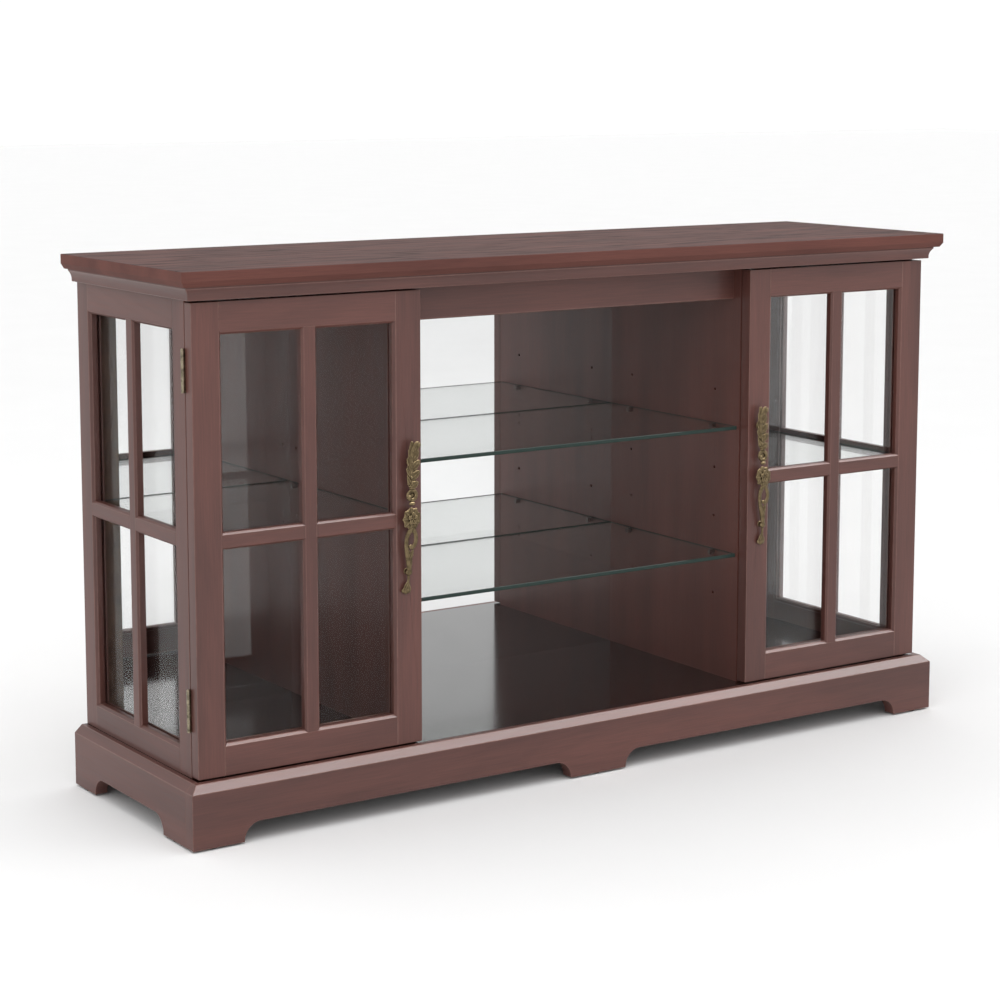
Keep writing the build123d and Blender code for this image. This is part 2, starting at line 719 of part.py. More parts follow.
def door_pull(side, screws):
    """Ornamental pull on two posts: its front outline, cut to its side outline."""
    with BuildPart() as pull:
        with BuildSketch(Plane.XZ.offset(-DOOR_FACE)) as front_view:
            with BuildLine():
                right = [(pull_middle(side, z) + w, PULL_Z + z) for z, w in PULL_OUTLINE]
                left = [(pull_middle(side, z) - w, PULL_Z + z) for z, w in PULL_OUTLINE]
                Spline(*right)
                Spline(*left)
                Line(left[0], right[0])
                Line(left[-1], right[-1])
            make_face()
        extrude(front_view.sketch, amount=PULL_PROUD)
        with BuildSketch(Plane.YZ) as side_view:
            with BuildLine():
                rear = [(DOOR_FACE - d, PULL_Z + z) for z, d in PULL_BACK]
                front = [(DOOR_FACE - d, PULL_Z + z) for z, d in PULL_FRONT]
                Spline(*rear)
                Spline(*front)
                Line(rear[0], front[0])
                Line(rear[-1], front[-1])
            make_face()
        extrude(side_view.sketch, amount=WIDTH, both=True, mode=Mode.INTERSECT)
        with BuildSketch(Plane.XZ.offset(-DOOR_FACE)) as posts:
            for step in (-PULL_POSTS, PULL_POSTS):
                with Locations((pull_middle(side, step), PULL_Z + step)):
                    Circle(PULL_POST_RADIUS)
        extrude(posts.sketch, amount=PULL_POST_LENGTH)
        add(screws.part, mode=Mode.SUBTRACT)
    return pull


for name, side in SIDES:
    door_face = Plane(
        origin=(side * (DOOR_FREE_EDGE + CASE_HALF) / 2, DOOR_FACE, DOOR_UNDER),
        x_dir=(1, 0, 0),
        z_dir=(0, -1, 0),
    )
    frame = glazed_frame(
        door_face,
        DOOR_WIDTH,
        DOOR_HEIGHT,
        DOOR_STILE,
        DOOR_STILE,
        DOOR_STILE,
        BAR_Z - DOOR_UNDER,
    )
    screws = door_screws(side)
    save(screws.part, f"{name}_door_screws")
    hinge_blank, lock_blank = frame[:2] if side < 0 else frame[1::-1]
    with BuildPart() as hinge_stile:
        add(hinge_blank.part)
        add(screws.part, mode=Mode.SUBTRACT)
    save(hinge_stile.part, f"{name}_door_hinge_stile")
    with BuildPart() as lock_stile:
        add(lock_blank.part)
        add(screws.part, mode=Mode.SUBTRACT)
    save(lock_stile.part, f"{name}_door_lock_stile")
    save(frame[2].part, f"{name}_door_rails")
    save(frame[3], f"{name}_door_muntins")
    save(frame[4].part, f"{name}_door_glass")
    save(frame[5].part, f"{name}_door_beads")
    with BuildPart() as hinge_door_leaves:
        for hinge_z in HINGE_HEIGHTS:
            hinge_leaf(side, hinge_z, DOOR_BACK, 1, middle_knuckle)
        add(screws.part, mode=Mode.SUBTRACT)
    save(hinge_door_leaves.part, f"{name}_door_hinge_leaves")
    with BuildPart() as strike_plate:
        x0, x1 = sided(side, side_bay[0] + STRIKE_INSET, side_bay[0] + CATCH_WIDTH - STRIKE_INSET)
        low, high = CATCH_BOTTOM - STRIKE_PROUD, CATCH_TOP + STRIKE_PROUD
        board((x0, DOOR_BACK, low), (x1, DOOR_BACK + STRIKE_THICKNESS, high))
    save(strike_plate.part, f"{name}_door_strike_plate")
    save(door_pull(side, screws).part, f"{name}_door_handle")
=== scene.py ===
"""Looks of the china cabinet: camera, light, stained wood, glass, mirrors and cast brass pulls."""

import math

import bmesh
import bpy
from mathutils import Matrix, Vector


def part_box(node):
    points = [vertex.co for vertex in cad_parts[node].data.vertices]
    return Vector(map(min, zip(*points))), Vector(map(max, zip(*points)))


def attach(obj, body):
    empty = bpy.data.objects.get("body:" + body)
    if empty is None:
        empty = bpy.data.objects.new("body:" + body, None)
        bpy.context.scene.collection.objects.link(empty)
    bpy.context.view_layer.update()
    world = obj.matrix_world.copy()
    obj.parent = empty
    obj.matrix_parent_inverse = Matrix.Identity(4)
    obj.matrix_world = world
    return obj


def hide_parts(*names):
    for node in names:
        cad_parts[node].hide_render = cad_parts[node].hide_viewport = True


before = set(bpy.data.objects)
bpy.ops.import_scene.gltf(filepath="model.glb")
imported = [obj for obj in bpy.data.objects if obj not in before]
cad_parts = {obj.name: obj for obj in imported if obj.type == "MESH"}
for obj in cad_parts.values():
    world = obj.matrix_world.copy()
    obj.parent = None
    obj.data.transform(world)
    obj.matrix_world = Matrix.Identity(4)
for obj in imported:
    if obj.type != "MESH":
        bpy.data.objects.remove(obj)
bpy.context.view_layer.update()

SCENE = bpy.context.scene
MM = 0.001
GRAIN_AXES = "XYZ"

# ---------------------------------------------------------------- camera and stage

CAMERA_PLACE = Vector((-2.1496, -3.1316, 1.0791))
CAMERA_YAW = 0.59
CAMERA_PITCH = -0.1354
CAMERA_LENS = 87.26
CAMERA_SHIFT = -0.10
STAGE_HALF = 30.0
BACKDROP_WHITE = 1.05
SKY_STRENGTH = 1.15
GLOSS_STRENGTH = 1.0
STRIP_STRENGTH = 12.5
STRIP_TILT = 0.30
STRIP_HALF = 0.16
# Each softbox: its place, what it faces, its width and height, and its power in watts
OVERHEAD = ((-0.6, -1.4, 3.2), (0, -0.2, 0), (3.6, 2.4), 34)
LEFT_SOFT = ((-3.4, -2.2, 1.8), (-0.6, 0, 0.4), (2.2, 2.2), 7)


def add_camera():
    """Camera at the left of the front, a little above the top board."""
    data = bpy.data.cameras.new("camera")
    data.lens = CAMERA_LENS
    data.shift_y = CAMERA_SHIFT
    camera = bpy.data.objects.new("camera", data)
    SCENE.collection.objects.link(camera)
    aim = Vector(
        (
            math.sin(CAMERA_YAW) * math.cos(CAMERA_PITCH),
            math.cos(CAMERA_YAW) * math.cos(CAMERA_PITCH),
            math.sin(CAMERA_PITCH),
        )
    )
    camera.location = CAMERA_PLACE
    camera.rotation_euler = aim.to_track_quat("-Z", "Y").to_euler()
    SCENE.camera = camera


def add_area_light(name, place, target, size, power):
    """Soft rectangular light at place that faces target."""
    data = bpy.data.lights.new(name, "AREA")
    data.shape = "RECTANGLE"
    data.size, data.size_y = size
    data.energy = power
    light = bpy.data.objects.new(name, data)
    SCENE.collection.objects.link(light)
    light.location = place
    aim = Vector(target) - Vector(place)
    light.rotation_euler = aim.to_track_quat("-Z", "Y").to_euler()


def add_lights():
    """Two broad softboxes, overhead and at the left, over even studio light."""
    add_area_light("overhead", *OVERHEAD)
    add_area_light("left_soft", *LEFT_SOFT)


def add_sky():
    """Even white surroundings, with a long overhead softbox that shows only in gloss."""
    world = bpy.data.worlds.new("studio")
    SCENE.world = world
    world.use_nodes = True
    tree = world.node_tree
    tree.nodes.clear()

    def join(kind, sources, **settings):
        made = tree.nodes.new("ShaderNode" + kind)
        for key, value in settings.items():
            setattr(made, key, value)
        for key, value in sources.items():
            if isinstance(value, bpy.types.NodeSocket):
                tree.links.new(value, made.inputs[key])
            else:
                made.inputs[key].default_value = value
        return made.outputs

    def fade(value, start, end):
        limits = {"Value": value, "From Min": start, "From Max": end}
        return join("MapRange", limits, interpolation_type="SMOOTHSTEP")[0]

    def math_of(operation, first, second=0.0):
        return join("Math", {0: first, 1: second}, operation=operation)[0]

    path = join("LightPath", {})
    x, y, z = join("SeparateXYZ", {0: join("TexCoord", {})["Generated"]})
    off_strip = math_of("ABSOLUTE", math_of("ADD", y, math_of("MULTIPLY", z, STRIP_TILT)))
    strip = fade(off_strip, STRIP_HALF * 1.5, STRIP_HALF * 0.5)
    strip = math_of("MULTIPLY", strip, fade(z, 0.4, 0.6))
    strip = math_of("MULTIPLY", strip, fade(x, -0.25, 0.1))
    gloss = math_of("ADD", GLOSS_STRENGTH, math_of("MULTIPLY", strip, STRIP_STRENGTH))
    white = (1, 1, 1, 1)
    lit = join("Background", {"Color": white, "Strength": SKY_STRENGTH})[0]
    shiny = join("Background", {"Color": white, "Strength": gloss})[0]
    seen = join("Background", {"Color": white, "Strength": BACKDROP_WHITE})[0]
    surroundings = join("MixShader", {0: path["Is Glossy Ray"], 1: lit, 2: shiny})[0]
    surroundings = join("MixShader", {0: path["Is Camera Ray"], 1: surroundings, 2: seen})[0]
    join("OutputWorld", {"Surface": surroundings})


# ---------------------------------------------------------------- material helpers


class Graph:
    """A material's node tree, with short ways to add nodes and join them."""

    def __init__(self, name):
        self.material = bpy.data.materials.new(name)
        self.material.use_nodes = True
        self.tree = self.material.node_tree
        self.tree.nodes.clear()
        self.out = self.tree.nodes.new("ShaderNodeOutputMaterial")

    def feed(self, socket, value):
        """Set a socket to a number or colour, or join it to another node's output."""
        if isinstance(value, bpy.types.NodeSocket):
            self.tree.links.new(value, socket)
        else:
            socket.default_value = value

    def node(self, kind, inputs=None, **settings):
        """Add a node of this kind, and return it."""
        made = self.tree.nodes.new("ShaderNode" + kind)
        for key, value in settings.items():
            setattr(made, key, value)
        for key, value in (inputs or {}).items():
            self.feed(made.inputs[key], value)
        return made

    def math(self, operation, *values, clamp=False):
        """Output of a Math node."""
        made = self.node("Math", operation=operation, use_clamp=clamp)
        for index, value in enumerate(values):
            self.feed(made.inputs[index], value)
        return made.outputs[0]

    def mix(self, factor, low, high):
        """Colour between low and high."""
        made = self.node("Mix", data_type="RGBA", clamp_factor=True)
        self.feed(made.inputs["Factor"], factor)
        self.feed(made.inputs[6], low)
        self.feed(made.inputs[7], high)
        return made.outputs[2]

    def span(self, value, low, high, to_low=0.0, to_high=1.0):
        """Value moved from low..high to to_low..to_high, and held there."""
        inputs = {"Value": value, "From Min": low, "From Max": high, "To Min": to_low, "To Max": to_high}
        return self.node("MapRange", inputs, clamp=True).outputs[0]

    def stretched(self, vector, scales):
        """Vector scaled by its own amount along each axis."""
        made = self.node("VectorMath", operation="MULTIPLY")
        self.feed(made.inputs[0], vector)
        self.feed(made.inputs[1], scales)
        return made.outputs[0]

    def noise(self, vector, scales, detail=2.0, roughness=0.5, distortion=0.0):
        """Noise whose grains are 1 / scales metres long on each axis."""
        inputs = {
            "Vector": self.stretched(vector, scales),
            "Scale": 1.0,
            "Detail": detail,
            "Roughness": roughness,
            "Distortion": distortion,
        }
        return self.node("TexNoise", inputs).outputs[0]

    def place(self):
        """Position on the object, in metres."""
        return self.node("TexCoord").outputs["Object"]

    def bump(self, height, depth, strength=1.0):
        """Normal bent by a height from 0 to 1, depth metres deep."""
        return self.node("Bump", {"Height": height, "Distance": depth, "Strength": strength}).outputs[0]

    def principled(self, **inputs):
        """Add the shader, join it to the output, and return it."""
        shader = self.node("BsdfPrincipled")
        for key, value in inputs.items():
            self.feed(shader.inputs[key.replace("_", " ")], value)
        self.tree.links.new(shader.outputs[0], self.out.inputs["Surface"])
        return shader


def rgba(colour):
    """Linear colour with full alpha."""
    return (*colour, 1.0)


# ---------------------------------------------------------------- stained wood

WOOD_PALE = (0.112, 0.040, 0.031)
WOOD_MID = (0.080, 0.029, 0.023)
WOOD_DARK = (0.040, 0.014, 0.011)
WOOD_PORE = (0.018, 0.007, 0.006)
# Paler tone on edges: rubbed wear together with a painted sheen
EDGE_WORN_SHEEN_PALE = (0.230, 0.120, 0.095)
BOARD_EDGE_TONE = 1.1


def grain_place(graph, axis, bars=None):
    """Position with its first coordinate along the grain.

    bars is (axis, middle, height, half) of glazing bars that cross an upright: their grain
    runs along that other axis.
    """
    xyz = graph.node("SeparateXYZ", {"Vector": graph.place()}).outputs

    def turned(along):
        order = [GRAIN_AXES.index(along)] + [i for i, a in enumerate(GRAIN_AXES) if a != along]
        return graph.node("CombineXYZ", {k: xyz[i] for k, i in zip(GRAIN_AXES, order)}).outputs[0]

    if bars is None:
        return turned(axis)
    other, middle, height, half = bars
    near_bar = graph.math("COMPARE", xyz[2], height, half)
    on_upright = graph.math("COMPARE", xyz[GRAIN_AXES.index(other)], middle, half)
    is_bar = graph.math("SUBTRACT", near_bar, on_upright, clamp=True)
    mix = graph.node("Mix", data_type="VECTOR")
    graph.feed(mix.inputs["Factor"], is_bar)
    graph.feed(mix.inputs[4], turned(axis))
    graph.feed(mix.inputs[5], turned(other))
    return mix.outputs[1]


def wood_rings(graph, grain):
    """Growth rings: a wave from 0 to 1 across each."""
    field = graph.noise(grain, (0.9, 8.0, 8.0), detail=2.5, roughness=0.45, distortion=0.25)
    rings = graph.math("SINE", graph.math("MULTIPLY", field, 95.0))
    return graph.span(rings, -1.0, 1.0)


def wood_pores(graph, grain, rings, flecks):
    """Open pores: short dashes along the grain that gather in the growth rings."""
    dash = graph.noise(grain, (16.0, 230.0, 230.0), detail=1.5, roughness=0.5)
    open_rings = graph.span(rings, 0.25, 0.8, 0.2, 1.0)
    pore = graph.math("MULTIPLY", graph.span(dash, 0.54, 0.64), open_rings)
    return graph.math("MULTIPLY", pore, flecks)


def on_top(graph, figure, flecks, streaks, tone):
    """The same four amounts, with the first three gone from a board's edges and its tone lighter."""
    facing = graph.node("TexCoord").outputs["Normal"]
    upward = graph.span(graph.node("SeparateXYZ", {"Vector": facing}).outputs[2], 0.5, 0.9)
    kept = [graph.math("MULTIPLY", upward, amount) for amount in (figure, flecks, streaks)]
    return (*kept, graph.span(upward, 0.0, 1.0, BOARD_EDGE_TONE, tone))


def wood_tones(graph, grain, rings, pore, figure, streaks, wear_and_sheen):
    """Stain: soft clouds, darker in the rings, streaks and pores, and paler on edges: rubbed wear
    together with a painted sheen.
    """
    cloud = graph.noise(grain, (2.2, 16.0, 16.0), detail=2.0)
    streak = graph.noise(grain, (5.0, 150.0, 150.0), detail=3.0, roughness=0.55)
    tones = graph.mix(graph.span(cloud, 0.35, 0.65), rgba(WOOD_MID), rgba(WOOD_PALE))
    ring_shade = graph.math("MULTIPLY", graph.span(rings, 0.35, 1.0), figure)
    tones = graph.mix(ring_shade, tones, rgba(WOOD_DARK))
    streak_shade = graph.math("MULTIPLY", graph.span(streak, 0.42, 0.72), streaks)
    tones = graph.mix(streak_shade, tones, rgba(WOOD_DARK))
    tones = graph.mix(pore, tones, rgba(WOOD_PORE))
    if not wear_and_sheen:
        return tones
    # Patchy paler tone on edges: rubbed wear together with a painted sheen
    cloudy = graph.noise(graph.place(), (70.0, 70.0, 70.0), detail=3.0)
    rub = graph.span(cloudy, 0.3, 0.7, 0.4, 1.0)
    return graph.mix(graph.math("MULTIPLY", rub, wear_and_sheen), tones, rgba(EDGE_WORN_SHEEN_PALE))


def wood(
    name,
    axis,
    figure=0.10,
    flecks=0.04,
    streaks=0.12,
    tone=1.0,
    gloss=0.48,
    coat=0.2,
    level=0.4,
    wear_and_sheen=0.0,
    bars=None,
    top_only=False,
    depth=0.00012,
):
    """Red-brown stained wood under satin lacquer.

    figure is how strongly its growth rings show, flecks how strongly its open pores do, level
    how strongly it reflects, and the wear amount how far the stain goes paler, as on edges: rubbed wear
    together with a painted sheen.
    top_only keeps the figure and the deeper tone off the board's edges, and depth is that of
    the pores in metres.
    """
    graph = Graph(name)
    grain = grain_place(graph, axis, bars)
    rings = wood_rings(graph, grain)
    fibre = graph.noise(grain, (18.0, 620.0, 620.0), detail=3.0, roughness=0.6)
    if top_only:
        figure, flecks, streaks, tone = on_top(graph, figure, flecks, streaks, tone)
    pore = wood_pores(graph, grain, rings, flecks)
    tones = wood_tones(graph, grain, rings, pore, figure, streaks, wear_and_sheen)
    value = graph.math("MULTIPLY", graph.span(fibre, 0.3, 0.7, 0.86, 1.14), tone)
    colour = graph.stretched(tones, value)

    relief = graph.math("SUBTRACT", graph.math("MULTIPLY", fibre, 0.35), pore)
    satin = graph.span(fibre, 0.3, 0.7, gloss - 0.04, gloss + 0.05)
    roughness = graph.math("ADD", satin, graph.math("MULTIPLY", pore, 0.2))
    graph.principled(
        Base_Color=colour,
        Roughness=roughness,
        Normal=graph.bump(relief, depth, 0.7),
        Coat_Weight=coat,
        Coat_Roughness=0.16,
        Specular_IOR_Level=level,
    )
    return graph.material


def inner_wood():
    """Plain secondary wood, stained but not lacquered."""
    graph = Graph("inner_wood")
    grain = grain_place(graph, "Y")
    fibre = graph.noise(grain, (14.0, 420.0, 420.0), detail=3.0)
    rings = graph.noise(grain, (1.5, 60.0, 60.0), detail=2.0, distortion=0.3)
    tones = graph.mix(graph.span(rings, 0.35, 0.65), rgba((0.15, 0.08, 0.045)), rgba((0.26, 0.15, 0.09)))
    colour = graph.stretched(tones, graph.span(fibre, 0.3, 0.7, 0.75, 1.15))
    graph.principled(
        Base_Color=colour,
        Roughness=graph.span(fibre, 0.3, 0.7, 0.62, 0.8),
        Normal=graph.bump(fibre, 0.0002, 0.8),
    )
    return graph.material


def hardboard():
    """Dark brown pressed board with a fine screen pattern and mottling."""
    graph = Graph("hardboard")
    place = graph.place()
    mottle = graph.noise(place, (45.0, 45.0, 45.0), detail=4.0, roughness=0.65)
    fleck = graph.noise(place, (900.0, 900.0, 900.0), detail=1.0)
    xyz = graph.node("SeparateXYZ", {"Vector": place}).outputs
    mesh_x = graph.math("SINE", graph.math("MULTIPLY", xyz[0], 4200.0))
    mesh_z = graph.math("SINE", graph.math("MULTIPLY", xyz[2], 4200.0))
    screen = graph.math("MULTIPLY", mesh_x, mesh_z)
    dark, pale = rgba((0.075, 0.038, 0.022)), rgba((0.14, 0.078, 0.046))
    tones = graph.mix(graph.span(mottle, 0.35, 0.65), dark, pale)
    colour = graph.stretched(tones, graph.span(fleck, 0.3, 0.7, 0.8, 1.2))
    relief = graph.math("ADD", graph.math("MULTIPLY", screen, 0.3), fleck)
    graph.principled(
        Base_Color=colour,
        Roughness=graph.span(mottle, 0.3, 0.7, 0.6, 0.78),
        Normal=graph.bump(relief, 0.00015, 0.7),
    )
    return graph.material


# ---------------------------------------------------------------- glass and mirror


def clear_to_light(graph, shader, shade):
    """Let soft light pass straight through a glass shader, from lamps and from lit surfaces."""
    path = graph.node("LightPath").outputs
    soft = graph.math("MAXIMUM", path["Is Shadow Ray"], path["Is Diffuse Ray"])
    through = graph.node("BsdfTransparent", {"Color": rgba((shade, shade, shade))})
    mix = graph.node("MixShader")
    graph.feed(mix.inputs[0], soft)
    graph.feed(mix.inputs[1], shader.outputs[0])
    graph.feed(mix.inputs[2], through.outputs[0])
    graph.tree.links.new(mix.outputs[0], graph.out.inputs["Surface"])


def glass(name, tint, alpha, shade, ior=1.5, edge=None):
    """Clear float glass with faint wipe marks.

    alpha is how much of it is seen at all, shade how much soft light it lets through, and edge
    the colour of its ground edges, the faces that stand upright.
    """
    graph = Graph(name)
    wipe = graph.noise(graph.place(), (5.0, 5.0, 12.0), detail=4.0, roughness=0.55, distortion=0.8)
    marks = graph.span(wipe, 0.45, 0.75)
    colour = graph.mix(marks, rgba(tint), rgba([0.98 * c for c in tint]))
    clearness = 1.0
    if edge:
        facing = graph.node("TexCoord").outputs["Normal"]
        flat = graph.math("ABSOLUTE", graph.node("SeparateXYZ", {"Vector": facing}).outputs[2])
        upright = graph.span(flat, 0.95, 0.8)
        colour = graph.mix(upright, colour, rgba(edge))
        clearness = graph.span(upright, 0.0, 1.0, 1.0, 0.0)
        alpha = graph.span(upright, 0.0, 1.0, alpha, 1.0)
    shader = graph.principled(
        Base_Color=colour,
        Roughness=0.0,
        IOR=ior,
        Transmission_Weight=clearness,
        Alpha=alpha,
    )
    clear_to_light(graph, shader, shade)
    return graph.material


def mirror():
    """Silvered glass with a trace of haze."""
    graph = Graph("mirror")
    haze = graph.noise(graph.place(), (6.0, 6.0, 11.0), detail=5.0, roughness=0.6, distortion=0.6)
    tint = graph.mix(graph.span(haze, 0.4, 0.7), rgba((0.84, 0.845, 0.845)), rgba((0.81, 0.815, 0.815)))
    graph.principled(
        Base_Color=tint,
        Metallic=1.0,
        Roughness=0.0,
    )
    return graph.material


# ---------------------------------------------------------------- metals and plastic


def metal(name, bright, dull, rough=(0.25, 0.45), hollow_patina_and_shade=False, depth=0.00004):
    """Metal that is bright where it is rubbed and dull in its stains; its hollows can be darkened too,
    which is patina together with painted shade.
    """
    graph = Graph(name)
    place = graph.place()
    stain = graph.noise(place, (160.0, 160.0, 160.0), detail=4.0, roughness=0.65)
    speck = graph.noise(place, (1500.0, 1500.0, 1500.0), detail=2.0)
    shine = graph.span(stain, 0.35, 0.62)
    # Hollows darkened by pointiness: patina together with painted shade
    if hollow_patina_and_shade:
        edges = graph.span(graph.node("NewGeometry").outputs["Pointiness"], 0.475, 0.56)
        shine = graph.math("MULTIPLY", edges, graph.span(stain, 0.3, 0.62, 0.35, 1.0))
    colour = graph.mix(shine, rgba(dull), rgba(bright))
    graph.principled(
        Base_Color=colour,
        Metallic=1.0,
        Roughness=graph.span(shine, 0.0, 1.0, rough[1], rough[0]),
        Normal=graph.bump(speck, depth, 0.6),
    )
    return graph.material


def black_plastic():
    """Moulded plastic with a fine spark texture."""
    graph = Graph("black_plastic")
    speck = graph.noise(graph.place(), (1100.0, 1100.0, 1100.0), detail=2.0)
    tones = graph.mix(speck, rgba((0.014, 0.013, 0.013)), rgba((0.030, 0.029, 0.028)))
    graph.principled(
        Base_Color=tones,
        Roughness=graph.span(speck, 0.3, 0.7, 0.42, 0.58),
        Normal=graph.bump(speck, 0.00006, 0.8),
    )
    return graph.material


def studio_floor():
    """Pale, faintly mottled paper."""
    graph = Graph("studio_floor")
    soft = graph.noise(graph.place(), (3.0, 3.0, 3.0), detail=3.0)
    tones = graph.mix(soft, rgba((0.80, 0.80, 0.80)), rgba((0.83, 0.83, 0.83)))
    graph.principled(Base_Color=tones, Roughness=0.85, Specular_IOR_Level=0.2)
    return graph.material


def add_stage():
    """Floor under the cabinet, out to the horizon."""
    sheet = bmesh.new()
    bmesh.ops.create_grid(sheet, x_segments=8, y_segments=8, size=STAGE_HALF)
    data = bpy.data.meshes.new("studio_floor")
    sheet.to_mesh(data)
    sheet.free()
    floor = bpy.data.objects.new("studio_floor", data)
    SCENE.collection.objects.link(floor)
    data.materials.append(studio_floor())


# ---------------------------------------------------------------- finish of the CAD nodes

EASED = 0.9 * MM
FINELY_EASED = 0.6 * MM
WELDED = 0.01 * MM
BAR_HALF = 12.2 * MM
# How much paler the edges go: rubbed wear together with a painted sheen
EDGE_WEAR_AND_SHEEN = 0.45
EDGE_GLOSS = 0.42

BOARDS = {
    "X": (
        "crown_moulding_front",
        "header_rail",
        "plinth_front",
        "plinth_back",
        "left_door_rails",
        "right_door_rails",
        "top_frame_front_rail",
    ),
    "Y": (
        "crown_moulding_left",
        "crown_moulding_right",
        "plinth_left",
        "plinth_right",
        "left_end_rails",
        "right_end_rails",
    ),
    "Z": (
        "left_door_hinge_stile",
        "left_door_lock_stile",
        "right_door_hinge_stile",
        "right_door_lock_stile",
        "left_end_stiles",
        "right_end_stiles",
        "left_door_beads",
        "right_door_beads",
        "left_end_beads",
        "right_end_beads",
    ),
}
# Each glazed frame, and the axis that its crossbar lies along
GLAZED_FRAMES = {"left_door": "X", "right_door": "X", "left_end": "Y", "right_end": "Y"}


def paint(node, *materials):
    """Give a CAD node its materials: its faces', then its eased edges'."""
    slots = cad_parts[node].data.materials
    slots.clear()
    for material in materials:
        slots.append(material)


def ease(node, width=EASED, segments=2, angle=33.0):
    """Round a CAD node's sharp edges; they take its second material if it has one."""
    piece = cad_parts[node]
    weld = piece.modifiers.new("weld", "WELD")
    weld.merge_threshold = WELDED
    bevel = piece.modifiers.new("eased_edges", "BEVEL")
    bevel.width = width
    bevel.segments = segments
    bevel.limit_method = "ANGLE"
    bevel.angle_limit = math.radians(angle)
    bevel.use_clamp_overlap = False
    bevel.material = 1 if len(piece.data.materials) > 1 else -1
    normals = piece.modifiers.new("weighted_normals", "WEIGHTED_NORMAL")
    normals.keep_sharp = False


def middle(node, axis):
    """Middle of a node's box along an axis."""
    low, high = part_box(node)
    return (low[axis] + high[axis]) / 2


def bar_height():
    """Height of the glazing bars, the same in every frame."""
    return middle("left_door_muntins", 2)


def finish_boards():
    """Lacquered wood with its grain along each board, and edges painted paler: rubbed wear together with
    a painted sheen.
    """
    shared = {}
    for axis in GRAIN_AXES:
        faces = wood(f"wood_{axis.lower()}", axis)
        # Edge material: paler for rubbed wear together with a painted sheen
        edges = wood(f"wood_{axis.lower()}_edge", axis, wear_and_sheen=EDGE_WEAR_AND_SHEEN, gloss=EDGE_GLOSS)
        shared[axis] = (faces, edges)
    calm = wood("divider_wood", "Z", figure=0.03, flecks=0.0, streaks=0.04, tone=1.1, depth=0.00004)
    for node in ("left_divider", "right_divider"):
        paint(node, calm)
    for axis, nodes in BOARDS.items():
        for node in nodes:
            paint(node, *shared[axis])
            ease(node)


def finish_muntins():
    """Glazing bars, with the crossbar's grain turned to run along it."""
    bar = bar_height()
    for name, across in GLAZED_FRAMES.items():
        node = f"{name}_muntins"
        bars = (across, middle(node, GRAIN_AXES.index(across)), bar, BAR_HALF)
        faces = wood(f"{node}_wood", "Z", bars=bars)
        # Edge material: paler for rubbed wear together with a painted sheen
        edges = wood(f"{node}_edge", "Z", bars=bars, wear_and_sheen=EDGE_WEAR_AND_SHEEN, gloss=EDGE_GLOSS)
        paint(node, faces, edges)
        ease(node, FINELY_EASED)


def finish_veneers():
    """Figured top board, and the dark, glossy floor of the bays."""
    veneer = wood(
        "top_veneer",
        "X",
        figure=0.75,
        flecks=1.0,
        streaks=0.5,
        tone=0.72,
        gloss=0.68,
        coat=0.0,
        level=0.22,
        top_only=True,
    )
    paint("top_board", veneer)
    floor = wood(
        "floor_veneer",
        "X",
        figure=0.25,
        tone=0.10,
        gloss=0.10,
        coat=0.6,
        level=0.5,
        depth=0.00001,
    )
    paint("bottom_panel", floor)


def finish_plain():
    """Inner wood, back sheet, glass, mirrors, metals and plastic."""
    secondary = inner_wood()
    for node in ("plinth_corner_blocks", "top_frame_back_rail", "top_frame_side_rails"):
        paint(node, secondary)
        ease(node, FINELY_EASED, 1)
    paint("back_panel", hardboard())
    pane = glass("pane_glass", (0.97, 0.975, 0.97), 0.07, 0.72)
    shelf = glass("shelf_glass", (0.88, 0.90, 0.89), 0.9, 0.95, ior=1.12, edge=(0.03, 0.045, 0.04))
    silver = mirror()
    hinge = metal("hinge_brass", (0.36, 0.31, 0.22), (0.12, 0.10, 0.07), (0.28, 0.5))
    nickel = metal("dark_nickel", (0.15, 0.14, 0.13), (0.04, 0.036, 0.034), (0.22, 0.4))
    steel = metal("zinc_steel", (0.46, 0.46, 0.45), (0.28, 0.27, 0.25), (0.3, 0.5))
    plastic = black_plastic()
    finishes = {
        pane: ("left_door_glass", "right_door_glass", "left_end_glass", "right_end_glass"),
        shelf: ("left_shelf", "right_shelf", "upper_center_shelf", "lower_center_shelf"),
        silver: ("left_mirror", "center_mirror", "right_mirror"),
        hinge: ("hinge_frame_leaves", "hinge_pins", "left_door_hinge_leaves", "right_door_hinge_leaves"),
        nickel: ("shelf_pins", "left_door_strike_plate", "right_door_strike_plate"),
        steel: ("cabinet_screws", "left_door_screws", "right_door_screws"),
        plastic: ("magnet_catches", "floor_glides"),
    }
    for material, nodes in finishes.items():
        for node in nodes:
            paint(node, material)


# ---------------------------------------------------------------- cast pulls

# Heights are from the pull's middle, and depths from the door's face, both in millimetres
PULL_REACH = 115
# From the pull's middle up to the top of its CAD node
PULL_RISE = 114
PULL_LEAN = 4.3
# The ornament is laid out deep, then flattened towards the door by this much
PULL_FLAT = 0.6
TUBE_SIDES = 20
RING_SIDES = 40
PETAL_SECTIONS = 14
PETAL_POINTS = 10
PETAL_RIB = 0.9
PETAL_RIB_HALF = 0.22
PETAL_UNDERCUT = 0.98
PETAL_BACKING = 0.3
CAST_VOXEL = 0.42 * MM


def smooth_path(points, steps):
    """Catmull-Rom line through points of any length, with steps spans between two points."""
    ends = [points[0], *points, points[-1]]
    line = []
    for i in range(len(points) - 1):
        a, b, c, d = (Vector(p) for p in ends[i : i + 4])
        for j in range(steps):
            t = j / steps
            pull = (c - a) * t + (2 * a - 5 * b + 4 * c - d) * t * t + (3 * b - 3 * c + d - a) * t**3
            line.append(b + pull / 2)
    line.append(Vector(points[-1]))
    return line


